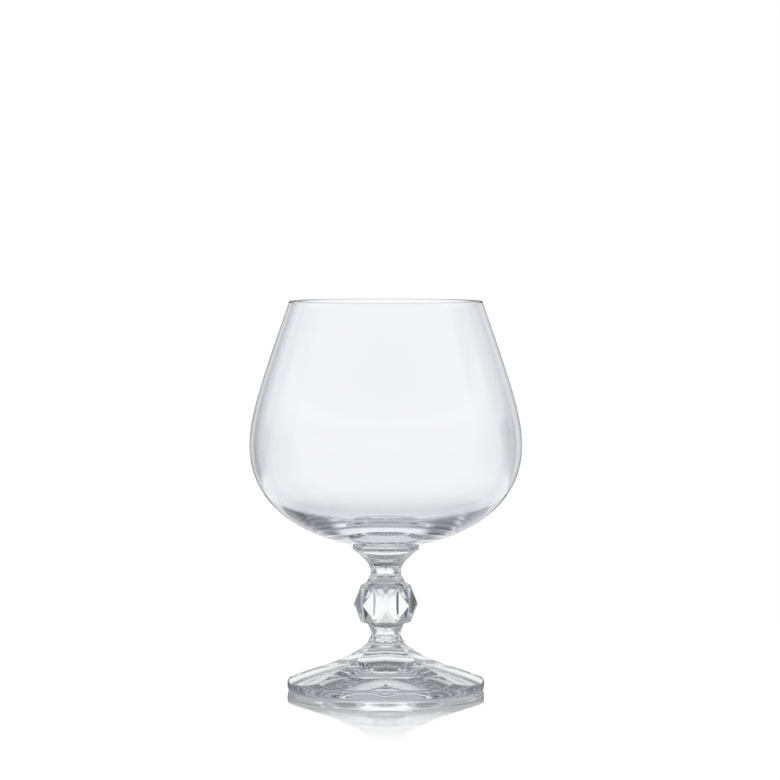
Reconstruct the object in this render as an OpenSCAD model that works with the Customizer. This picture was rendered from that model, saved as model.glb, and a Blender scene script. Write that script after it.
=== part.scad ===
// Brandy snifter of clear glass: a thin blown bowl, welded to a pressed stem with eight sides,
// which is welded to a pressed foot. Millimetres, +Z up. The origin is the middle of the foot,
// in the plane that the glass stands on.

/* [Bowl] */
// Width of the mouth, outside the lip
mouth_w = 59.6; // [50:0.2:70]
// Width of the belly, the widest place of the bowl
belly_w = 83.7; // [74:0.1:100]
// Height of the bowl, from its weld to the lip
bowl_h = 75; // [62:0.5:95]
// Height of the belly above the weld
belly_h = 30.5; // [22:0.1:38]
// Lean of the wall under the lip, in degrees from upright
lip_lean = 19; // [8:1:25]
// Thickness of the wall at the lip
lip_wall = 1.3; // [0.9:0.1:2.4]
// Thickness of the wall at the belly
belly_wall = 1.4; // [1:0.1:3]
// Thickness of the glass in the middle of the base
base_wall = 4; // [3:0.5:9]
// Width of the flat disc under the base that is welded to the collar
bowl_weld_w = 18; // [12:0.5:18.5]

/* [Stem] */
// Width of the collar under the bowl, corner to corner
collar_w = 20.4; // [20:0.2:26]
// Height of the collar's upright edge
collar_edge_h = 1.5; // [0.8:0.1:3]
// Height of the bevel under the collar's edge
collar_bevel_h = 1.1; // [0.5:0.1:2.5]
// How far that bevel comes in at each corner
collar_bevel_in = 1.6; // [0.8:0.1:3]
// Height of the flare between the upper neck and the collar
collar_flare_h = 6.5; // [4:0.1:10]
// Width of the upper neck at its narrowest, corner to corner
upper_neck_w = 9.1; // [7:0.1:11]
// Height of the upper neck, from the knop's shoulder to the narrowest place
upper_neck_h = 2.45; // [1.5:0.05:5]
// Width of the upper shoulder where it leaves the neck, corner to corner
upper_shoulder_w = 11.9; // [11:0.1:14]
// Height of the upper shoulder's long triangular facets
upper_shoulder_h = 1.35; // [0.8:0.05:3]
// Width of the knop at its eight points, point to point
knop_w = 19.8; // [18:0.1:26]
// Width of the knop at the corners above and below those points
knop_corner_w = 16.6; // [15:0.1:18]
// Height of the knop between its upper and lower corners
knop_h = 10.65; // [8:0.05:16]
// Height of the lower shoulder
lower_shoulder_h = 0.95; // [0.5:0.05:2]
// Width of the lower shoulder where it meets the neck, corner to corner
lower_shoulder_w = 11; // [10:0.1:13]
// Width of the lower neck at its narrowest, corner to corner
lower_neck_w = 9.1; // [7:0.1:10]
// Height of the lower neck, from its narrowest place to the shoulder
lower_neck_h = 3.1; // [2:0.1:6]
// Height of the flare between the foot and the lower neck
foot_flare_h = 3.1; // [2:0.1:6]

/* [Foot] */
// Width of the foot, across its round rim
foot_w = 60.7; // [54:0.1:76]
// Height of the foot, from the table to its weld with the stem
foot_h = 14.3; // [11:0.1:20]
// Width of that weld, corner to corner
foot_weld_w = 12.2; // [11:0.1:16]
// Height of the rim's edge where a facet comes down lowest
rim_edge_h = 2.85; // [2.5:0.05:4.5]
// Height of the rim's widest place
rim_belly_h = 2.4; // [1.5:0.1:2.8]
// Radius of the round from there up into the facets
rim_round = 2.3; // [2:0.1:4]
// How far the rim's underside comes in below its widest place
rim_under_in = 0.65; // [0.3:0.05:1.5]
// Width of the flat ring that the glass stands on, from its inner to its outer edge
stand_ring_w = 1.4; // [1:0.1:6]
// Depth of the hollow under the foot
hollow_h = 5.5; // [2:0.1:6.5]

/* [Hidden] */
$fn = 192;

// Every facet is one of eight
sides = 8;
side_turn = 360 / sides;

// Handles of the bowl's curves, as shares of the width or height that each curve spans.
// A curve that leaves upright or level has one share, and the base's outside also has its rise.
outside_base_shares = [0.23, 0.155];
outside_belly_share = 0.758;
outside_wall_share = 0.229;
outside_lip_share = 0.51;
inside_floor_share = 0.66;
inside_belly_share = 0.7;

// Handles of the flares, as shares of their widths and heights, [across, up].
collar_flare_shares = [0.68, 0.36];
collar_waist_share = 0.5;
shoulder_waist_share = 0.06;
shoulder_flare_shares = [0.75, 0.52];
under_waist_share = 0.5;
under_flare_shares = [0.05, 0.22];
foot_waist_share = 0.12;
foot_flare_shares = [0.4, 0.157];
foot_top_shares = [0.305, 0.56];
foot_rim_shares = [0.42, 0.445];

// Steps along each curve
bowl_steps = 24;
lip_steps = 8;
flare_steps = 7;
foot_steps = 14;
rim_steps = 6;
rim_round_turn = 60;

// Radii and heights that follow from the sizes above
mouth_r = mouth_w / 2;
belly_r = belly_w / 2;
bowl_weld_r = bowl_weld_w / 2;
lip_r = lip_wall / 2;
collar_r = collar_w / 2;
foot_r = foot_w / 2;
foot_weld_r = foot_weld_w / 2;
stand_r = foot_r - rim_under_in;
hollow_r = stand_r - stand_ring_w;
lower_neck_z = foot_h + foot_flare_h;
lower_shoulder_z = lower_neck_z + lower_neck_h;
knop_z = lower_shoulder_z + lower_shoulder_h;
knop_top_z = knop_z + knop_h;
upper_shoulder_z = knop_top_z + upper_shoulder_h;
upper_neck_z = upper_shoulder_z + upper_neck_h;
collar_bevel_z = upper_neck_z + collar_flare_h;
collar_edge_z = collar_bevel_z + collar_bevel_h;
bowl_z = collar_edge_z + collar_edge_h;

// A smooth curve from a to d, whose handles end at b and c
function curve(a, b, c, d, steps) = [
  for (i = [0:steps]) let (t = i / steps, u = 1 - t)
    u * u * u * a + 3 * u * u * t * b + 3 * u * t * t * c + t * t * t * d
];

function without_first(list) = [for (i = [1:len(list) - 1]) list[i]];

function reversed(list) = [for (i = [len(list) - 1:-1:0]) list[i]];

// The eight corners of a ring. A turned ring has them above the middles of a plain one's sides.
function ring(corner_r, z, turned = false) = [
  for (k = [0:sides - 1]) let (a = (k + (turned ? 1 / 2 : 0)) * side_turn)
    [corner_r * cos(a), corner_r * sin(a), z]
];

function next(k) = (k + 1) % sides;

// The bowl's outline from its weld up the outside, in [radius, height above the weld]
outside = let (
  base_in = outside_base_shares[0] * (belly_r - bowl_weld_r),
  wall_h = bowl_h - lip_r - belly_h,
  lip_handle = outside_lip_share * wall_h
) concat(
  curve(
    [bowl_weld_r, 0],
    [bowl_weld_r + base_in, outside_base_shares[1] * base_in],
    [belly_r, belly_h * (1 - outside_belly_share)],
    [belly_r, belly_h],
    bowl_steps
  ),
  without_first(curve(
    [belly_r, belly_h],
    [belly_r, belly_h + outside_wall_share * wall_h],
    [mouth_r + lip_handle * sin(lip_lean), belly_h + wall_h - lip_handle * cos(lip_lean)],
    [mouth_r, belly_h + wall_h],
    bowl_steps
  ))
);

// The half round of the lip, from the outside over to the inside
lip = [
  for (i = [1:lip_steps - 1]) let (a = i / lip_steps * 180)
    [mouth_r - lip_r + lip_r * cos(a), bowl_h - lip_r + lip_r * sin(a)]
];

// The outline of the inside, from the middle of the floor up to the lip
inside = let (
  inner_r = belly_r - belly_wall,
  inner_mouth_r = mouth_r - lip_wall,
  wall_h = bowl_h - lip_r - belly_h,
  lip_handle = outside_lip_share * wall_h
) concat(
  curve(
    [0, base_wall],
    [inside_floor_share * inner_r, base_wall],
    [inner_r, belly_h - inside_belly_share * (belly_h - base_wall)],
    [inner_r, belly_h],
    bowl_steps
  ),
  without_first(curve(
    [inner_r, belly_h],
    [inner_r, belly_h + outside_wall_share * wall_h],
    [inner_mouth_r + lip_handle * sin(lip_lean), belly_h + wall_h - lip_handle * cos(lip_lean)],
    [inner_mouth_r, belly_h + wall_h],
    bowl_steps
  ))
);

// The flare from the foot's weld up to the lower neck, in [corner radius, height]
foot_flare = let (neck_r = lower_neck_w / 2, out = foot_weld_r - neck_r) curve(
  [foot_weld_r, foot_h],
  [foot_weld_r - foot_flare_shares[0] * out, foot_h + foot_flare_shares[1] * foot_flare_h],
  [neck_r, lower_neck_z - foot_waist_share * foot_flare_h],
  [neck_r, lower_neck_z],
  flare_steps
);

// From the lower neck up to the knop's lower shoulder
under_flare = let (neck_r = lower_neck_w / 2, out = lower_shoulder_w / 2 - neck_r) curve(
  [neck_r, lower_neck_z],
  [neck_r, lower_neck_z + under_waist_share * lower_neck_h],
  [neck_r + (1 - under_flare_shares[0]) * out, lower_shoulder_z - under_flare_shares[1] * lower_neck_h],
  [neck_r + out, lower_shoulder_z],
  flare_steps
);

// From the knop's upper shoulder up to the upper neck
shoulder_flare = let (neck_r = upper_neck_w / 2, out = upper_shoulder_w / 2 - neck_r) curve(
  [neck_r + out, upper_shoulder_z],
  [neck_r + (1 - shoulder_flare_shares[0]) * out, upper_shoulder_z + shoulder_flare_shares[1] * upper_neck_h],
  [neck_r, upper_neck_z - shoulder_waist_share * upper_neck_h],
  [neck_r, upper_neck_z],
  flare_steps
);

// From the upper neck up to the collar's bevel
collar_flare = let (neck_r = upper_neck_w / 2, out = collar_r - collar_bevel_in - neck_r) curve(
  [neck_r, upper_neck_z],
  [neck_r, upper_neck_z + collar_waist_share * collar_flare_h],
  [neck_r + (1 - collar_flare_shares[0]) * out, collar_bevel_z - collar_flare_shares[1] * collar_flare_h],
  [neck_r + out, collar_bevel_z],
  flare_steps
);

// The foot's facets run on past the rim, to the corners of an octagon whose sides touch the rim
foot_slope = let (
  out_r = foot_r / cos(side_turn / 2),
  out = out_r - foot_weld_r,
  drop = foot_h - rim_edge_h
) curve(
  [out_r, rim_edge_h],
  [out_r - foot_rim_shares[0] * out, rim_edge_h + foot_rim_shares[1] * drop],
  [foot_weld_r + foot_top_shares[0] * out, foot_h - foot_top_shares[1] * drop],
  [foot_weld_r, foot_h],
  foot_steps
);

// The round body of the foot: the standing ring, the rim and a cone that clears the facets
rim_outline = let (
  top_r = foot_r - rim_round * (1 - cos(rim_round_turn)),
  top_z = rim_belly_h + rim_round * sin(rim_round_turn)
) concat(
  [[0, 0]],
  [
    for (i = [0:rim_steps]) let (a = i / rim_steps * 90)
      [stand_r + rim_under_in * sin(a), rim_belly_h * (1 - cos(a))]
  ],
  [
    for (i = [1:rim_steps]) let (a = i / rim_steps * rim_round_turn)
      [foot_r - rim_round * (1 - cos(a)), rim_belly_h + rim_round * sin(a)]
  ],
  [
    [top_r - (foot_h - top_z) / tan(rim_round_turn) / 2, foot_h],
    [0, foot_h]
  ]
);

// An eight-sided column through a list of [corner radius, height], from the bottom up
module column(stations) {
  last = len(stations) - 1;
  polyhedron(
    points = [for (s = stations) each ring(s[0], s[1])],
    faces = concat(
      [[for (k = [0:sides - 1]) k]],
      [
        for (i = [0:last - 1]) for (k = [0:sides - 1])
          [i * sides + next(k), i * sides + k, (i + 1) * sides + k, (i + 1) * sides + next(k)]
      ],
      [[for (k = [sides - 1:-1:0]) last * sides + k]]
    )
  );
}

// The knop: a prism of eight sides, each raised to a four-sided point, between two bands of
// triangles that bring it back to the necks
module knop() {
  corner_r = knop_corner_w / 2;
  low = sides;
  high = 2 * sides;
  top = 3 * sides;
  point = 4 * sides;
  each_side = [0:sides - 1];
  polyhedron(
    points = concat(
      ring(lower_shoulder_w / 2, lower_shoulder_z),
      ring(corner_r, knop_z, turned = true),
      ring(corner_r, knop_top_z, turned = true),
      ring(upper_shoulder_w / 2, upper_shoulder_z),
      ring(knop_w / 2, knop_z + knop_h / 2)
    ),
    faces = concat(
      [[for (k = each_side) k]],
      [for (k = each_side) [next(k), k, low + k]],
      [for (k = each_side) [next(k), low + k, low + next(k)]],
      [for (k = each_side) [low + next(k), low + k, point + next(k)]],
      [for (k = each_side) [low + k, high + k, point + next(k)]],
      [for (k = each_side) [high + k, high + next(k), point + next(k)]],
      [for (k = each_side) [high + next(k), low + next(k), point + next(k)]],
      [for (k = each_side) [high + k, top + next(k), high + next(k)]],
      [for (k = each_side) [high + k, top + k, top + next(k)]],
      [[for (k = [sides - 1:-1:0]) top + k]]
    )
  );
}

module bowl() {
  color([0.9, 0.92, 0.96, 0.35])
    translate([0, 0, bowl_z])
      rotate_extrude()
        polygon(concat([[0, 0]], outside, lip, reversed(inside)));
}

module stem() {
  color([0.8, 0.83, 0.88, 0.6]) {
    column(concat(foot_flare, without_first(under_flare)));
    knop();
    column(concat(
      shoulder_flare,
      without_first(collar_flare),
      [[collar_r, collar_edge_z], [collar_r, bowl_z]]
    ));
  }
}

module foot() {
  hollow_ball_r = (hollow_r * hollow_r + hollow_h * hollow_h) / (2 * hollow_h);
  color([0.84, 0.87, 0.91, 0.6])
    difference() {
      intersection() {
        rotate_extrude() polygon(rim_outline);
        column(concat([[foot_r / cos(side_turn / 2), 0]], foot_slope));
      }
      translate([0, 0, hollow_h - hollow_ball_r])
        sphere(r = hollow_ball_r);
    }
}

bowl();
stem();
foot();
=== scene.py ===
# Brandy snifter: a thin blown bowl, welded to a pressed stem of eight sides and a pressed foot.
# All three are clear glass, seen against a white background as in the photograph.
import math

import bmesh
import bpy
import numpy as np
from mathutils import Matrix, Vector
from mathutils.geometry import interpolate_bezier


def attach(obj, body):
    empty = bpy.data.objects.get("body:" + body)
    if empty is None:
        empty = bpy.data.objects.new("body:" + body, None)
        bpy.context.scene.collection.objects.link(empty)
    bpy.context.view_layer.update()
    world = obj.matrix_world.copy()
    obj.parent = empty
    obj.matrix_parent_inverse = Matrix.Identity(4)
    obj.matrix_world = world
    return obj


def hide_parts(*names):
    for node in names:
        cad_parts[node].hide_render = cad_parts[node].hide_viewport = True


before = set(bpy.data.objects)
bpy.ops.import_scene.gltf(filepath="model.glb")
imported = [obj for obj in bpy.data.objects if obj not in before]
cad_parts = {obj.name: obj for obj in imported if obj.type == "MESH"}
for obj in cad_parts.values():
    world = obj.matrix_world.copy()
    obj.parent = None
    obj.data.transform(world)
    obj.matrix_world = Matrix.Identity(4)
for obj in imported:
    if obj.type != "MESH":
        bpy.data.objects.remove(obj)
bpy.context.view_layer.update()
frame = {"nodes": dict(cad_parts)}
mm = 0.001
touching = 0.000001  # metres, what lies closer together than this is in one place
sideCount = 8  # of the stem and the foot
halfSide = math.pi / sideCount
print("frame loaded:", ", ".join(frame["nodes"]))


# Camera

cameraView = {
    "distance": 1.265,  # from the axis of the glass, metres
    "height": 0.14863,
    "aside": 0.00128,  # the glass stands a little left of the middle
    "tiltDown": 2.537,  # degrees
    "lens": 190.31,  # mm
    "sensor": 36,  # mm across
    "reach": (0.05, 50),  # the nearest and the furthest that it sees, metres
}


def addCamera():
    data = bpy.data.cameras.new("photoCamera")
    data.lens = cameraView["lens"]
    data.sensor_width = cameraView["sensor"]
    data.clip_start, data.clip_end = cameraView["reach"]
    camera = bpy.data.objects.new("photoCamera", data)
    camera.location = (cameraView["aside"], -cameraView["distance"], cameraView["height"])
    camera.rotation_euler = (math.radians(90 - cameraView["tiltDown"]), 0, 0)
    bpy.context.scene.collection.objects.link(camera)
    bpy.context.scene.camera = camera


addCamera()
print("camera set")


# Small helpers for nodes and meshes

nodeSpacing = (190, 160)  # across and up in the node editor
pureWhite = (1.0, 1.0, 1.0)
anyBounce = 0.5  # tells a count of no bounces from one or more


def node(tree, kind, place, **settings):
    made = tree.nodes.new(kind)
    made.location = (place[0] * nodeSpacing[0], place[1] * nodeSpacing[1])
    for name, value in settings.items():
        setattr(made, name, value)
    return made


def join(tree, source, target):
    tree.links.new(source, target)


def mathNode(tree, operation, place, first, second=None, third=None):
    made = node(tree, "ShaderNodeMath", place, operation=operation)
    for slot, value in zip(made.inputs, (first, second, third)):
        if value is None:
            continue
        if isinstance(value, (int, float)):
            slot.default_value = value
        else:
            join(tree, value, slot)
    return made.outputs[0]


def softStep(tree, place, source, dark, bright):
    # 0 at the dark end and 1 at the bright end, which may lie either way round
    made = node(tree, "ShaderNodeMapRange", place, interpolation_type="SMOOTHSTEP")
    join(tree, source, made.inputs["Value"])
    made.inputs["From Min"].default_value = min(dark, bright)
    made.inputs["From Max"].default_value = max(dark, bright)
    made.inputs["To Min"].default_value = 0 if dark < bright else 1
    made.inputs["To Max"].default_value = 1 if dark < bright else 0
    return made.outputs[0]


def mixed(tree, place, share, first, second):
    # The first colour where the share is 0 and the second where it is 1
    made = node(tree, "ShaderNodeMix", place, data_type="RGBA")
    join(tree, share, made.inputs["Factor"])
    for value, slot in ((first, made.inputs["A"]), (second, made.inputs["B"])):
        if isinstance(value, tuple):
            slot.default_value = (*value, 1)
        else:
            join(tree, value, slot)
    return made.outputs["Result"]


def tinted(level, tint):
    # The brighter it is, the whiter
    return tuple(level * (part + (1 - part) * min(level, 1)) for part in tint)


def levels(tree, place, reading, stops, ends, tint=pureWhite):
    # Light that follows a reading, which is 0 and 1 where the stops' own scale is at its two ends
    made = node(tree, "ShaderNodeValToRGB", place)
    join(tree, reading, made.inputs["Fac"])
    made.color_ramp.interpolation = "EASE"
    slots = made.color_ramp.elements
    for _ in stops[2:]:
        slots.new(0.5)
    for slot, (at, level) in zip(slots, stops):
        slot.position = (at - ends[0]) / (ends[1] - ends[0])
        slot.color = (*tinted(level, tint), 1)
    return made.outputs["Color"]


def bezier(start, startHandle, endHandle, end, steps):
    # Points are (radius, height) in mm
    corners = [Vector((r, 0, z)) * mm for r, z in (start, startHandle, endHandle, end)]
    return interpolate_bezier(*corners, steps + 1)


def finishPiece(name, bm, materials, cadNode):
    mesh = bpy.data.meshes.new(name)
    bm.to_mesh(mesh)
    bm.free()
    piece = bpy.data.objects.new(name, mesh)
    bpy.context.scene.collection.objects.link(piece)
    for material in materials:
        mesh.materials.append(material)
    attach(piece, "root")
    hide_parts(cadNode)
    triangles = sum(len(face.vertices) - 2 for face in mesh.polygons)
    print(name, "modelled,", triangles, "triangles")
    return piece


# Studio: white to the camera. Looked through, the glass shows four tall bright screens with dark gaps
# between them, and a black card. Where it reflects, it shows softer walls and a white card.
# Angles are in degrees: around from straight ahead of the camera, to the right, and up from level.
# A card or a wall ends softly, between an angle where it is dark and one where it is bright.

studio = {
    "screens": 4,
    "screenEdges": ((-33, -21), (39, 27)),  # from a screen's middle
    "sideShift": 7,  # the screens at the sides stand this much closer to the front
    "heights": (-25.0, 75.0),  # the range in which each light has its levels, (height, level)
    "screen": (
        (-20, 0.94), (-9, 1.0), (8, 1.03), (13, 0.9), (20, 0.76), (28, 0.2), (45, 0.22), (70, 0.16),
    ),
    "gap": (
        (-20, 0.94), (-11.5, 0.92), (-8, 0.22), (-2, 0.18), (8, 0.34), (24, 0.36), (45, 0.14), (70, 0.08),
    ),
    "gapTint": (0.93, 0.98, 1.09),
    "flagEdges": ((-57, -50), (-27, -33)),  # a black card low on the left, which one side of the knop shows
    "flagHeights": ((-11, -9), (-2, -5)),
    "flag": 0.07,
    "front": ((-20, 0.2), (4, 0.12), (10, 0.2), (16, 1.0), (30, 1.1), (40, 0.3), (70, 0.3)),
    "left": ((-20, 0.7), (0, 0.36), (40, 0.26), (70, 0.3)),
    "right": ((-20, 0.7), (0, 0.12), (40, 0.06), (70, 0.3)),
    "rear": ((-20, 0.8), (-6, 0.58), (4, 0.56), (6, 0.85), (12, 0.58), (50, 0.45), (70, 0.4)),
    "frontEdges": ((-64, -34), (58, 32)),
    "middleEdge": (2, -2),  # where the right wall gives way to the left one
    "rearEdge": (88, 97),  # to either side, where the lit wall behind the camera begins
    "cardEdge": (9, 6),  # to either side, a low white card straight ahead
    "cardHeights": ((4.6, 5.6), (11, 8.5)),
    "card": 1.12,
    "turnedBackEdge": (60, 50),  # to either side, how far light that was reflected inside sees the screens
    "floorEdge": (60, 74),  # to either side, from where the table mirrors plain white
    "floorHeight": (24, 19),
    "floorBounces": 2.5,  # a ray that has met only the table counts fewer
    "plainLight": 0.95,  # what lights the table
}


def patch(tree, place, azimuth, height, sides, heights):
    # 1 on a card between its two sides and its two heights
    across, down = place
    across -= 2
    wide = mathNode(
        tree, "MULTIPLY", (across + 1, down + 1),
        softStep(tree, (across, down + 1), azimuth, *sides[0]),
        softStep(tree, (across, down), azimuth, *sides[1]),
    )
    tall = mathNode(
        tree, "MULTIPLY", (across + 1, down),
        softStep(tree, (across, down - 1), height, *heights[0]),
        softStep(tree, (across, down - 2), height, *heights[1]),
    )
    return mathNode(tree, "MULTIPLY", place, wide, tall)


def addStudio():
    world = bpy.data.worlds.new("studio")
    world.use_nodes = True
    bpy.context.scene.world = world
    tree = world.node_tree
    tree.nodes.clear()
    where = node(tree, "ShaderNodeTexCoord", (-8, 0))
    parts = node(tree, "ShaderNodeSeparateXYZ", (-7, 0))
    join(tree, where.outputs["Generated"], parts.inputs[0])
    turn = mathNode(tree, "ARCTAN2", (-6, 0), parts.outputs["X"], parts.outputs["Y"])
    azimuth = mathNode(tree, "DEGREES", (-5, 0), turn)
    climb = mathNode(tree, "ARCSINE", (-6, -1), parts.outputs["Z"])
    height = mathNode(tree, "DEGREES", (-5, -1), climb)
    scaled = node(tree, "ShaderNodeMapRange", (-4, -1))
    join(tree, height, scaled.inputs["Value"])
    scaled.inputs["From Min"].default_value, scaled.inputs["From Max"].default_value = studio["heights"]

    def light(name, place, tint=pureWhite):
        return levels(tree, place, scaled.outputs[0], studio[name], studio["heights"], tint)

    # The screen in front comes back at the two sides, and behind, where the shift makes it wider
    halfTurn = 180 / studio["screens"]
    aside = mathNode(tree, "ABSOLUTE", (-4, 5), azimuth)
    notAhead = mathNode(tree, "GREATER_THAN", (-5, 1), aside, halfTurn)
    side = mathNode(tree, "MULTIPLY", (-5, 2), mathNode(tree, "SIGN", (-6, 2), azimuth), notAhead)
    wrapped = mathNode(tree, "WRAP", (-5, 3), azimuth, halfTurn, -halfTurn)
    folded = mathNode(tree, "MULTIPLY_ADD", (-4, 1), side, studio["sideShift"], wrapped)
    leftSide = softStep(tree, (-3, 1), folded, *studio["screenEdges"][0])
    rightSide = softStep(tree, (-3, 0), folded, *studio["screenEdges"][1])
    onScreen = mathNode(tree, "MULTIPLY", (-2, 0), leftSide, rightSide)
    screen = light("screen", (-2, -2))
    gap = light("gap", (-2, -1), studio["gapTint"])
    through = mixed(tree, (-1, 0), onScreen, gap, screen)
    onFlag = patch(tree, (-1, -3), azimuth, height, studio["flagEdges"], studio["flagHeights"])
    through = mixed(tree, (0, 0), onFlag, through, (studio["flag"],) * 3)

    # The walls of the room and the white card, for light that the glass or the table reflects
    behind = softStep(tree, (-3, 5), aside, *studio["rearEdge"])
    sides = mixed(
        tree, (-2, 7), softStep(tree, (-3, 7), azimuth, *studio["middleEdge"]),
        light("right", (-3, 9), studio["gapTint"]), light("left", (-3, 8), studio["gapTint"]),
    )
    walls = mixed(tree, (-1, 5), behind, sides, light("rear", (-2, 5)))
    ahead = mathNode(
        tree, "MULTIPLY", (-2, 3),
        softStep(tree, (-3, 4), azimuth, *studio["frontEdges"][0]),
        softStep(tree, (-3, 3), azimuth, *studio["frontEdges"][1]),
    )
    around = mixed(tree, (0, 4), ahead, walls, light("front", (-1, 4)))
    dark, bright = studio["cardEdge"]
    onCard = patch(tree, (0, 8), azimuth, height, ((-dark, -bright), (dark, bright)), studio["cardHeights"])
    around = mixed(tree, (1, 4), onCard, around, (studio["card"],) * 3)
    inFront = softStep(tree, (-3, 2), aside, *studio["turnedBackEdge"])
    turnedBack = mixed(tree, (0, 2), inFront, walls, through)

    path = node(tree, "ShaderNodeLightPath", (0, 7))
    isGlossy, isTransmission = path.outputs["Is Glossy Ray"], path.outputs["Is Transmission Ray"]
    # What the bare table mirrors from the sides and from behind the camera is as white as the table
    atSide = mathNode(
        tree, "MULTIPLY", (1, 9),
        softStep(tree, (0, 10), aside, *studio["floorEdge"]),
        softStep(tree, (0, 9), height, *studio["floorHeight"]),
    )
    straight = mathNode(tree, "LESS_THAN", (1, 8), path.outputs["Ray Depth"], studio["floorBounces"])
    around = mixed(tree, (2, 6), mathNode(tree, "MULTIPLY", (2, 8), atSide, straight), around, pureWhite)
    reflectedBefore = mathNode(tree, "GREATER_THAN", (1, 6), path.outputs["Glossy Depth"], anyBounce)
    glassRay = mathNode(tree, "MAXIMUM", (2, 4), isGlossy, isTransmission)
    refracted = mixed(tree, (1, 1), reflectedBefore, through, turnedBack)
    glassLight = mixed(tree, (2, 1), isTransmission, around, refracted)
    seen = mixed(tree, (3, 1), glassRay, (studio["plainLight"],) * 3, glassLight)
    seen = mixed(tree, (4, 1), path.outputs["Is Camera Ray"], seen, pureWhite)
    background = node(tree, "ShaderNodeBackground", (5, 1))
    join(tree, seen, background.inputs["Color"])
    output = node(tree, "ShaderNodeOutputWorld", (6, 1))
    join(tree, background.outputs[0], output.inputs[0])


addStudio()
print("studio lit")


# Table: white, with a reflection that fades away from the foot, and the shadow of the glass. Seen through
# the glass, it also has a painted shadow near the foot

table = {  # metres
    "radius": 0.24,
    "turns": 96,
    "diffuse": 0.22,
    "glow": 0.82,
    "ior": 1.5,
    "roughness": 0.04,
    "reflection": (0.140, 0.030),  # distance from the axis at which it ends, and at which it is full
    "grazing": (0.12, 0.6),  # Fresnel share at which it begins, and at which it is full
    "paintedShadowUnderGlass": (  # (distance from the axis, level) of the painted shadow that the glass shows on the table
        (0.0, 0.9), (0.022, 0.74), (0.031, 0.54), (0.045, 0.38), (0.065, 0.42), (0.1, 0.85), (0.16, 0.94),
    ),
    "fromAbove": 0.93,  # the painted shadow's level, the same, looked at from high above
    "aboveFacing": (0.32, 0.18),  # Layer Weight reading at which that begins, and at which it is full
}


def addTable():
    bm = bmesh.new()
    bmesh.ops.create_circle(bm, cap_ends=True, segments=table["turns"], radius=table["radius"])
    mesh = bpy.data.meshes.new("table")
    bm.to_mesh(mesh)
    bm.free()
    top = bpy.data.objects.new("table", mesh)
    bpy.context.scene.collection.objects.link(top)
    material = bpy.data.materials.new("whiteTable")
    material.use_nodes = True
    tree = material.node_tree
    tree.nodes.clear()
    where = node(tree, "ShaderNodeTexCoord", (-4, 0))
    length = node(tree, "ShaderNodeVectorMath", (-3, 0), operation="LENGTH")
    join(tree, where.outputs["Object"], length.inputs[0])
    distance = length.outputs["Value"]

    diffuse = node(tree, "ShaderNodeBsdfDiffuse", (-1, 3))
    diffuse.inputs["Color"].default_value = (table["diffuse"],) * 3 + (1,)
    glow = node(tree, "ShaderNodeEmission", (-1, 2))
    glow.inputs["Color"].default_value = (*pureWhite, 1)
    glow.inputs["Strength"].default_value = table["glow"]
    white = node(tree, "ShaderNodeAddShader", (0, 2))
    join(tree, diffuse.outputs[0], white.inputs[0])
    join(tree, glow.outputs[0], white.inputs[1])

    # Painted shadow: seen through the glass, the table glows darker close to the foot
    furthest = table["paintedShadowUnderGlass"][-1][0]
    outward = mathNode(tree, "DIVIDE", (-3, 1), distance, furthest)
    paintedFootShadow = levels(tree, (-2, 1), outward, table["paintedShadowUnderGlass"], (0, furthest), studio["gapTint"])
    facing = node(tree, "ShaderNodeLayerWeight", (-5, -2))
    path = node(tree, "ShaderNodeLightPath", (-1, 4))
    onlyBent = mathNode(tree, "LESS_THAN", (-4, -3), path.outputs["Glossy Depth"], anyBounce)
    steep = softStep(tree, (-4, -2), facing.outputs["Facing"], *table["aboveFacing"])
    above = mathNode(tree, "MULTIPLY", (-3, -2), steep, onlyBent)
    # Painted shadow: this glow, darker near the foot, is what rays from the glass see of the table
    paintedShadowGlow = node(tree, "ShaderNodeEmission", (-1, 1))
    shade = mixed(tree, (-2, -2), above, paintedFootShadow, (table["fromAbove"],) * 3)
    join(tree, shade, paintedShadowGlow.inputs["Color"])
    glassRay = mathNode(
        tree, "MAXIMUM", (0, 4), path.outputs["Is Glossy Ray"], path.outputs["Is Transmission Ray"],
    )
    surface = node(tree, "ShaderNodeMixShader", (1, 2))
    join(tree, glassRay, surface.inputs["Fac"])
    join(tree, white.outputs[0], surface.inputs[1])
    join(tree, paintedShadowGlow.outputs[0], surface.inputs[2])

    gloss = node(tree, "ShaderNodeBsdfGlossy", (1, 0))
    gloss.inputs["Color"].default_value = (*pureWhite, 1)
    gloss.inputs["Roughness"].default_value = table["roughness"]
    grazing = node(tree, "ShaderNodeFresnel", (-1, -1))
    grazing.inputs["IOR"].default_value = table["ior"]
    fade = softStep(tree, (-1, 0), distance, *table["reflection"])
    most = node(tree, "ShaderNodeMapRange", (0, -1))
    join(tree, grazing.outputs[0], most.inputs["Value"])
    most.inputs["From Min"].default_value, most.inputs["From Max"].default_value = table["grazing"]
    share = mathNode(tree, "MULTIPLY", (1, -1), fade, most.outputs[0])
    both = node(tree, "ShaderNodeMixShader", (2, 0))
    join(tree, share, both.inputs["Fac"])
    join(tree, surface.outputs[0], both.inputs[1])
    join(tree, gloss.outputs[0], both.inputs[2])
    output = node(tree, "ShaderNodeOutputMaterial", (3, 0))
    join(tree, both.outputs[0], output.inputs[0])
    mesh.materials.append(material)


addTable()
print("table laid")


# Glass

firePolish = {
    "waveDetail": 2,
    "waveRoughness": 0.4,
    "patchScale": 45,  # of the spots that are a little less polished
    "patchDetail": 4,
    "patchEdge": (0.45, 0.75),
}


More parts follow.
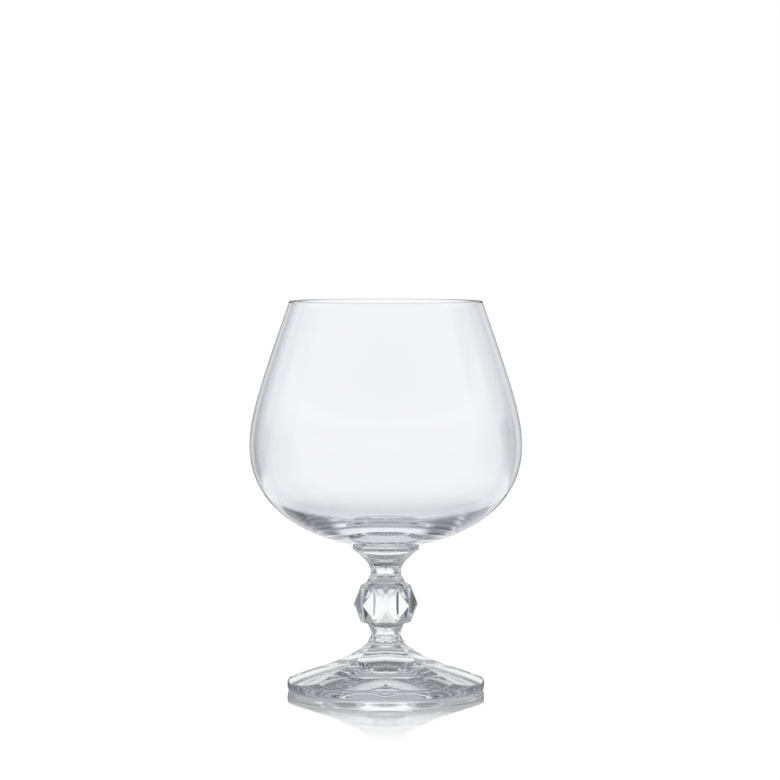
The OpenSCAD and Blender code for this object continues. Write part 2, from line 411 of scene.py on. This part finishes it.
def makeGlassSurface():
    # Waves and polish of fire-polished glass, shared by all three pieces
    group = bpy.data.node_groups.new("firePolish", "ShaderNodeTree")
    for name, value in (("Wave Scale", 60.0), ("Stretch", 1.0), ("Haze", 0.01)):
        socket = group.interface.new_socket(name, in_out="INPUT", socket_type="NodeSocketFloat")
        socket.default_value = value
    for name in ("Height", "Roughness"):
        group.interface.new_socket(name, in_out="OUTPUT", socket_type="NodeSocketFloat")
    given = node(group, "NodeGroupInput", (-6, 0))
    result = node(group, "NodeGroupOutput", (4, 0))
    where = node(group, "ShaderNodeTexCoord", (-6, 1))
    stretch = node(group, "ShaderNodeCombineXYZ", (-5, 0))
    stretch.inputs["X"].default_value = 1
    stretch.inputs["Y"].default_value = 1
    join(group, given.outputs["Stretch"], stretch.inputs["Z"])
    drawn = node(group, "ShaderNodeVectorMath", (-4, 1), operation="MULTIPLY")
    join(group, where.outputs["Object"], drawn.inputs[0])
    join(group, stretch.outputs[0], drawn.inputs[1])
    waves = node(group, "ShaderNodeTexNoise", (-2, 1))
    waves.inputs["Detail"].default_value = firePolish["waveDetail"]
    waves.inputs["Roughness"].default_value = firePolish["waveRoughness"]
    join(group, drawn.outputs[0], waves.inputs["Vector"])
    join(group, given.outputs["Wave Scale"], waves.inputs["Scale"])
    join(group, waves.outputs["Fac"], result.inputs["Height"])
    polish = node(group, "ShaderNodeTexNoise", (-2, -1))
    polish.inputs["Scale"].default_value = firePolish["patchScale"]
    polish.inputs["Detail"].default_value = firePolish["patchDetail"]
    join(group, where.outputs["Object"], polish.inputs["Vector"])
    patchy = softStep(group, (-1, -1), polish.outputs["Fac"], *firePolish["patchEdge"])
    haze = mathNode(group, "MULTIPLY", (0, -1), patchy, given.outputs["Haze"])
    join(group, haze, result.inputs["Roughness"])
    return group


glassSurface = makeGlassSurface()


def makeGlass(name, look):
    material = bpy.data.materials.new(name)
    material.use_nodes = True
    tree = material.node_tree
    shader = tree.nodes["Principled BSDF"]
    # The glass is a little deeper in colour where it is looked along
    facing = node(tree, "ShaderNodeLayerWeight", (-5, 2))
    along = softStep(tree, (-4, 2), facing.outputs["Facing"], *look["edgeFrom"])
    tint = mixed(tree, (-2, 2), along, look["tint"], look["edgeTint"])
    # Painted shade: the colour darkens light that has gone to and fro inside it, so it comes out weaker
    path = node(tree, "ShaderNodeLightPath", (-5, 4))
    deepShadeShare = softStep(tree, (-4, 4), path.outputs["Ray Depth"], *look["deepFrom"])
    tint = mixed(tree, (-1, 3), deepShadeShare, tint, look["paintedDeepShade"])
    join(tree, tint, shader.inputs["Base Color"])
    shader.inputs["Transmission Weight"].default_value = 1
    shader.inputs["IOR"].default_value = look["ior"]
    surface = node(tree, "ShaderNodeGroup", (-3, 0))
    surface.node_tree = glassSurface
    surface.inputs["Wave Scale"].default_value = look["waveScale"]
    surface.inputs["Stretch"].default_value = look["stretch"]
    surface.inputs["Haze"].default_value = look["haze"]
    bump = node(tree, "ShaderNodeBump", (-2, -1))
    bump.inputs["Strength"].default_value = 1
    bump.inputs["Distance"].default_value = look["waveHeight"]
    join(tree, surface.outputs["Height"], bump.inputs["Height"])
    join(tree, bump.outputs[0], shader.inputs["Normal"])
    join(tree, surface.outputs["Roughness"], shader.inputs["Roughness"])
    return material


def makeWeld():
    # The two faces of a weld are inside one lump of glass, so neither one shows
    material = bpy.data.materials.new("weldedFace")
    material.use_nodes = True
    shader = material.node_tree.nodes["Principled BSDF"]
    shader.inputs["Alpha"].default_value = 0
    return material


weldedFace = makeWeld()
blownGlass = makeGlass("blownGlass", {
    "tint": (0.97, 0.972, 0.982),
    "edgeTint": (0.85, 0.865, 0.95),
    "edgeFrom": (0.3, 1.0),  # Layer Weight readings between which the edge's tint comes in
    # the painted shade for light that has bounced inside many times
    "paintedDeepShade": (0.9, 0.92, 0.96),
    "deepFrom": (6, 12),  # counts of bounces between which the painted deep shade comes in
    "ior": 1.5,
    "waveScale": 55.0,
    "stretch": 0.4,
    "waveHeight": 0.000004,  # metres
    "haze": 0.008,
})
pressedGlass = makeGlass("pressedGlass", {
    "tint": (0.965, 0.972, 0.986),
    "edgeTint": (0.74, 0.77, 0.85),
    "edgeFrom": (0.4, 0.9),
    # the painted shade for light that has bounced inside many times
    "paintedDeepShade": (0.14, 0.17, 0.22),
    "deepFrom": (2.5, 7.0),
    "ior": 1.5,
    "waveScale": 220.0,
    "stretch": 0.6,
    "waveHeight": 0.000006,
    "haze": 0.01,
})
footGlass = makeGlass("footGlass", {
    "tint": (0.96, 0.967, 0.982),
    "edgeTint": (0.9, 0.92, 0.955),
    "edgeFrom": (0.5, 1.0),
    # the painted shade for light that has bounced inside many times
    "paintedDeepShade": (0.24, 0.27, 0.32),
    "deepFrom": (2.5, 8.0),
    "ior": 1.5,
    "waveScale": 110.0,
    "stretch": 1.0,
    "waveHeight": 0.000008,
    "haze": 0.012,
})
print("glass mixed")


# Bowl

weldMargin = 0.05  # mm around a weld within which its faces are looked for

bowlSizes = {  # mm, heights from the weld
    "foot": 45.0,  # height of the weld above the table
    "weldRadius": 9.0,
    "bellyRadius": 41.85,
    "bellyHeight": 30.5,
    "height": 75.0,
    "mouthRadius": 29.8,
    "lipLean": 19.0,  # degrees inwards
    "lipWall": 1.3,
    "bellyWall": 1.4,
    "baseWall": 4.0,
    # Handles of the curves, as shares of the width or height that the curve covers
    "baseShares": (0.23, 0.155),  # out from the weld, and its slope
    "bellyShare": 0.758,  # down from the belly
    "wallShare": 0.229,  # up from the belly
    "lipShare": 0.51,  # down from the lip
    "floorShare": 0.66,  # out from the middle of the floor
    "innerBellyShare": 0.7,  # down from the belly, inside
    "curveSteps": 56,
    "lipSteps": 14,
    "turns": 192,
}


def wallCurve(sizes, beltRadius, mouthRadius):
    # From the belly up to the lip, the same for the outside and the inside
    rise = sizes["height"] - sizes["lipWall"] / 2 - sizes["bellyHeight"]
    handle = sizes["lipShare"] * rise
    lean = math.radians(sizes["lipLean"])
    belly = sizes["foot"] + sizes["bellyHeight"]
    return bezier(
        (beltRadius, belly),
        (beltRadius, belly + sizes["wallShare"] * rise),
        (mouthRadius + handle * math.sin(lean), belly + rise - handle * math.cos(lean)),
        (mouthRadius, belly + rise),
        sizes["curveSteps"],
    )


def bowlOutline(sizes):
    weld, belly = sizes["weldRadius"], sizes["bellyRadius"]
    low, beltHigh = sizes["foot"], sizes["foot"] + sizes["bellyHeight"]
    reach = sizes["baseShares"][0] * (belly - weld)
    outside = bezier(
        (weld, low),
        (weld + reach, low + sizes["baseShares"][1] * reach),
        (belly, low + sizes["bellyHeight"] * (1 - sizes["bellyShare"])),
        (belly, beltHigh),
        sizes["curveSteps"],
    )
    wallOut = wallCurve(sizes, belly, sizes["mouthRadius"])
    inner = belly - sizes["bellyWall"]
    floor = low + sizes["baseWall"]
    inside = bezier(
        (0, floor),
        (sizes["floorShare"] * inner, floor),
        (inner, beltHigh - sizes["innerBellyShare"] * (beltHigh - floor)),
        (inner, beltHigh),
        sizes["curveSteps"],
    )
    wallIn = wallCurve(sizes, inner, sizes["mouthRadius"] - sizes["lipWall"])
    lipRound = sizes["lipWall"] / 2
    lip = []
    for step in range(1, sizes["lipSteps"]):
        turn = math.pi * step / sizes["lipSteps"]
        lip.append(Vector((
            sizes["mouthRadius"] - lipRound + lipRound * math.cos(turn),
            0,
            low + sizes["height"] - lipRound + lipRound * math.sin(turn),
        )) * mm)
    middle = Vector((0, 0, low)) * mm
    return [middle] + outside + wallOut[1:] + lip + wallIn[::-1] + inside[::-1][1:]


def spun(points, turns):
    bm = bmesh.new()
    verts = [bm.verts.new(point) for point in points]
    edges = [bm.edges.new(pair) for pair in zip(verts, verts[1:])]
    bmesh.ops.spin(
        bm, geom=verts + edges, cent=(0, 0, 0), axis=(0, 0, 1),
        angle=math.tau, steps=turns, use_merge=True,
    )
    bmesh.ops.remove_doubles(bm, verts=bm.verts, dist=touching)
    bmesh.ops.recalc_face_normals(bm, faces=bm.faces)
    return bm


def markWeld(bm, height, radius):
    # Faces of the weld get the second material, and a sharp edge around them. Sizes are in mm
    within = (radius + weldMargin) * mm
    for face in bm.faces:
        face.smooth = True
        if all(abs(v.co.z - height * mm) < touching and v.co.xy.length < within for v in face.verts):
            face.material_index = 1
    for edge in bm.edges:
        if len({face.material_index for face in edge.link_faces}) > 1:
            edge.smooth = False


def addBowl(sizes):
    bm = spun(bowlOutline(sizes), sizes["turns"])
    markWeld(bm, sizes["foot"], sizes["weldRadius"])
    return finishPiece("snifterBowl", bm, (blownGlass, weldedFace), "bowl")


addBowl(bowlSizes)


# Stem

levelFace = 0.999  # a face whose normal rises or falls by more than this lies level

stemSizes = {  # mm, radii out to the corners and heights above the table
    "foot": (6.1, 14.3),
    "lowerNeck": (4.85, 17.4),
    "lowerShoulder": (5.5, 20.5),
    "knopLow": (8.3, 21.45),
    "knopHigh": (8.3, 32.1),
    "knopPoint": 9.9,
    "upperShoulder": (5.95, 33.45),
    "upperNeck": (4.85, 35.9),
    "collarBevel": (8.6, 42.4),
    "collarEdge": (10.2, 43.5),
    "top": (10.2, 45.0),
    "weldRadius": 9.0,
    # Handles of the four flares at their lower and upper ends, as shares of their width and height
    "footFlareShares": ((0.4, 0.157), (0, 0.12)),
    "lowerFlareShares": ((0, 0.5), (0.05, 0.22)),
    "upperFlareShares": ((0.25, 0.52), (0, 0.06)),
    "collarFlareShares": ((0, 0.5), (0.68, 0.36)),
    "edgeRound": 0.22,
    "neckRound": 1.6,
    "neckReach": 3.1,  # how far above and below a neck its corners are rounder
    "levelEdge": 0.02,  # an edge that rises no more than this is level, so it is no corner of a neck
    "sharpAngle": 0.14,  # radians, an edge is rounded where its faces turn by more than this
    "roundSteps": 8,
    "flareSteps": 56,
}


def flare(start, end, shares, steps):
    # The shares of its width and height give the curve's handle at each end, (across, up)
    across, up = end[0] - start[0], end[1] - start[1]
    startShares, endShares = shares
    curve = bezier(
        start,
        (start[0] + startShares[0] * across, start[1] + startShares[1] * up),
        (end[0] - endShares[0] * across, end[1] - endShares[1] * up),
        end,
        steps,
    )
    return [(point.x / mm, point.z / mm) for point in curve]


def octagon(bm, radius, height, turned=False):
    spot = Matrix.Translation((0, 0, height * mm))
    turn = Matrix.Rotation(halfSide if turned else 0, 4, "Z")
    made = bmesh.ops.create_circle(bm, segments=sideCount, radius=radius * mm, matrix=spot @ turn)
    return made["verts"]


def ringEdges(verts):
    return list(dict.fromkeys(
        edge for vert in verts for edge in vert.link_edges
        if edge.other_vert(vert) in verts
    ))


def column(bm, stations):
    rings = [octagon(bm, *station) for station in stations]
    for lower, upper in zip(rings, rings[1:]):
        bmesh.ops.bridge_loops(bm, edges=ringEdges(lower) + ringEdges(upper))
    return rings


def shoulderBand(bm, lower, upper):
    # Sixteen triangles between two octagons that are turned against each other
    made = bmesh.ops.convex_hull(bm, input=lower + upper)
    caps = [
        item for item in made["geom"]
        if isinstance(item, bmesh.types.BMFace) and abs(item.normal.z) > levelFace
    ]
    bmesh.ops.delete(bm, geom=caps, context="FACES_ONLY")


def addStem(sizes):
    bm = bmesh.new()

    def between(start, end, shares):
        return flare(sizes[start], sizes[end], sizes[shares], sizes["flareSteps"])

    lower = column(bm, (
        between("foot", "lowerNeck", "footFlareShares")
        + between("lowerNeck", "lowerShoulder", "lowerFlareShares")[1:]
    ))
    upper = column(bm, (
        between("upperShoulder", "upperNeck", "upperFlareShares")
        + between("upperNeck", "collarBevel", "collarFlareShares")[1:]
        + [sizes["collarEdge"], sizes["top"]]
    ))
    low = octagon(bm, *sizes["knopLow"], turned=True)
    high = octagon(bm, *sizes["knopHigh"], turned=True)
    sides = bmesh.ops.bridge_loops(bm, edges=ringEdges(low) + ringEdges(high))["faces"]
    flat = sizes["knopLow"][0] * math.cos(halfSide)
    bmesh.ops.poke(bm, faces=sides, offset=(sizes["knopPoint"] - flat) * mm, use_relative_offset=False)
    shoulderBand(bm, lower[-1], low)
    shoulderBand(bm, high, upper[0])
    bmesh.ops.contextual_create(bm, geom=ringEdges(lower[0]))
    disc = bmesh.ops.create_circle(
        bm, cap_ends=True, segments=bowlSizes["turns"], radius=sizes["weldRadius"] * mm,
        matrix=Matrix.Translation((0, 0, sizes["top"][1] * mm)),
    )["verts"]
    bmesh.ops.bridge_loops(bm, edges=ringEdges(upper[-1]) + ringEdges(disc))
    bmesh.ops.recalc_face_normals(bm, faces=bm.faces)
    welds = (sizes["foot"][1], sizes["top"][1])
    necks = (sizes["lowerNeck"][1], sizes["upperNeck"][1])
    weights = bm.edges.layers.float.new("bevel_weight_edge")
    for edge in bm.edges:
        first, second = edge.verts
        inWeld = any(all(abs(v.co.z - z * mm) < touching for v in edge.verts) for z in welds)
        collarRim = first in upper[-1] and second in upper[-1]
        sharp = len(edge.link_faces) == 2 and edge.calc_face_angle() > sizes["sharpAngle"]
        if sharp and (collarRim or not inWeld):
            # The corners melt away at the two necks
            middle = (first.co.z + second.co.z) / 2 / mm
            steep = abs(first.co.z - second.co.z) > sizes["levelEdge"] * mm
            nearNeck = max(0.0, 1 - min(abs(middle - neck) for neck in necks) / sizes["neckReach"])
            soft = nearNeck * nearNeck * (3 - 2 * nearNeck) if steep else 0
            width = sizes["edgeRound"] + soft * (sizes["neckRound"] - sizes["edgeRound"])
            edge[weights] = width / sizes["neckRound"]
    for height in welds:
        markWeld(bm, height, sizes["weldRadius"])
    piece = finishPiece("facetedStem", bm, (pressedGlass, weldedFace), "stem")
    rounded = piece.modifiers.new("roundedEdges", "BEVEL")
    rounded.limit_method = "WEIGHT"
    rounded.offset_type = "OFFSET"
    rounded.width = sizes["neckRound"] * mm
    rounded.segments = sizes["roundSteps"]
    rounded.use_clamp_overlap = False
    even = piece.modifiers.new("evenNormals", "WEIGHTED_NORMAL")
    even.weight = 100
    even.keep_sharp = True
    return piece


addStem(stemSizes)


# Foot

footSizes = {  # mm
    "weldCorner": 6.1,
    "height": 14.3,
    "radius": 30.35,
    "edgeHeight": 2.85,
    "topShares": (0.305, 0.56),  # the slope's handle at the stem, of its width and height
    "rimShares": (0.42, 0.445),  # and at the rim
    "rimHeight": 2.4,
    "rimRound": 2.3,
    "underIn": 0.65,  # from the widest place in to the ring that it stands on
    "standWidth": 1.4,
    "hollow": 5.5,  # deep
    "edgeRound": (0.16, 0.5),  # how far each facet's edge is rounded, at the weld and at the rim
    "turns": 384,
    "turnEase": 1.5,  # over 1, the points crowd together at the facets' edges
    "slopeSteps": 50,
    "slopeEase": 1.25,  # over 1, the rings crowd together at the stem
    "rimSteps": 24,
    "underSteps": 18,
    "hollowSteps": 44,
    "curveSteps": 400,  # of the slope that the rings are laid on
    "radiusTries": 8,
    "meetingTries": 40,
}


def addFoot(sizes):
    cornerOut = sizes["radius"] / math.cos(halfSide)
    start, end = (sizes["weldCorner"], sizes["height"]), (cornerOut, sizes["edgeHeight"])
    slope = flare(start, end, (sizes["topShares"], sizes["rimShares"]), sizes["curveSteps"])
    across = cornerOut - sizes["weldCorner"]
    slopeCorner = [corner for corner, height in slope]
    slopeHeight = [height for corner, height in slope]

    def roundedCorner(radius, turn):
        # Corner radius of the octagon through a point, with the octagon's corners rounded
        share = min(max((radius - sizes["weldCorner"]) / across, 0), 1)
        soft = sizes["edgeRound"][0] + share * (sizes["edgeRound"][1] - sizes["edgeRound"][0])
        near = radius * math.cos(turn)
        other = radius * math.cos(2 * halfSide - abs(turn))
        melted = max(soft - (near - other), 0) / soft
        return (near + melted * melted * soft / 4) / math.cos(halfSide)

    def radiusAt(corner, turn):
        # How far out the rounded octagon of that corner radius is, found by trying
        radius = corner * math.cos(halfSide) / math.cos(turn)
        for _ in range(sizes["radiusTries"]):
            radius *= corner / roundedCorner(radius, turn)
        return radius

    def slopeAt(radius, turn):
        return float(np.interp(roundedCorner(radius, turn), slopeCorner, slopeHeight))

    def rimAt(angle):
        # The rim's round, from its widest place up
        centre, size = sizes["radius"] - sizes["rimRound"], sizes["rimRound"]
        return centre + size * math.cos(angle), sizes["rimHeight"] + size * math.sin(angle)

    def meetingAngle(turn):
        # Where the round comes up through the facet
        low, high = 0.0, math.pi / 2
        for _ in range(sizes["meetingTries"]):
            middle = (low + high) / 2
            radius, height = rimAt(middle)
            if height < slopeAt(radius, turn):
                low = middle
            else:
                high = middle
        return low

    # The rings of points from the middle of the weld, over the rim, to the middle of the hollow
    rings = [("pole", 0.0)]
    for kind, first, steps in (
        ("slope", 0, sizes["slopeSteps"]),
        ("rim", 1, sizes["rimSteps"]),
        ("under", 1, sizes["underSteps"]),
        ("ring", 1, 1),
        ("hollow", 1, sizes["hollowSteps"]),
    ):
        rings += [(kind, step / steps) for step in range(first, steps + 1)]
    standOut = sizes["radius"] - sizes["underIn"]
    standIn = standOut - sizes["standWidth"]
    ball = (standIn ** 2 + sizes["hollow"] ** 2) / (2 * sizes["hollow"])

    def place(kind, share, turn, meeting):
        if kind == "pole":
            return 0.0, sizes["height"]
        if kind == "slope":
            eased = share ** sizes["slopeEase"]
            last = roundedCorner(rimAt(meeting)[0], turn)
            corner = sizes["weldCorner"] + eased * (last - sizes["weldCorner"])
            return radiusAt(corner, turn), float(np.interp(corner, slopeCorner, slopeHeight))
        if kind == "rim":
            return rimAt(meeting * (1 - share))
        if kind == "under":
            angle = math.pi / 2 * (1 - share)
            return standOut + sizes["underIn"] * math.sin(angle), sizes["rimHeight"] * (1 - math.cos(angle))
        if kind == "ring":
            return standIn, 0.0
        radius = standIn * (1 - share)
        return radius, sizes["hollow"] - ball + math.sqrt(ball ** 2 - radius ** 2)

    # They are spun 1 mm apart, so a point's height tells its ring, and then each point moves to its place
    cornerMeeting = meetingAngle(halfSide)
    points = [
        Vector((place(kind, share, halfSide, cornerMeeting)[0], 0, -index)) * mm
        for index, (kind, share) in enumerate(rings)
    ]
    bm = spun(points, sizes["turns"])
    meetings = {}
    for vert in bm.verts:
        kind, share = rings[round(-vert.co.z / mm)]
        around = math.atan2(vert.co.y, vert.co.x)
        sector = math.floor(around / (2 * halfSide))
        along = (around / (2 * halfSide) - sector) * 2 - 1  # -1 and 1 at the facet's two edges
        eased = 1 - (1 - min(abs(along), 1)) ** sizes["turnEase"]
        turn = round(math.copysign(eased, along) * halfSide, 5)
        key = abs(turn)
        if key not in meetings:
            meetings[key] = meetingAngle(turn)
        radius, height = place(kind, share, turn, meetings[key])
        around = (sector * 2 + 1) * halfSide + turn
        vert.co = Vector((radius * math.cos(around), radius * math.sin(around), height)) * mm
    markWeld(bm, sizes["height"], sizes["weldCorner"])
    bmesh.ops.recalc_face_normals(bm, faces=bm.faces)
    return finishPiece("facetedFoot", bm, (footGlass, weldedFace), "foot")


addFoot(footSizes)


# Plain colours, and enough bounces for light that goes to and fro inside the glass

lightBounces = 64
clearBounces = 32  # through the welded faces

bpy.context.scene.view_settings.view_transform = "Standard"
cycles = bpy.context.scene.cycles
cycles.max_bounces = lightBounces
cycles.transmission_bounces = lightBounces
cycles.glossy_bounces = lightBounces
cycles.transparent_max_bounces = clearBounces
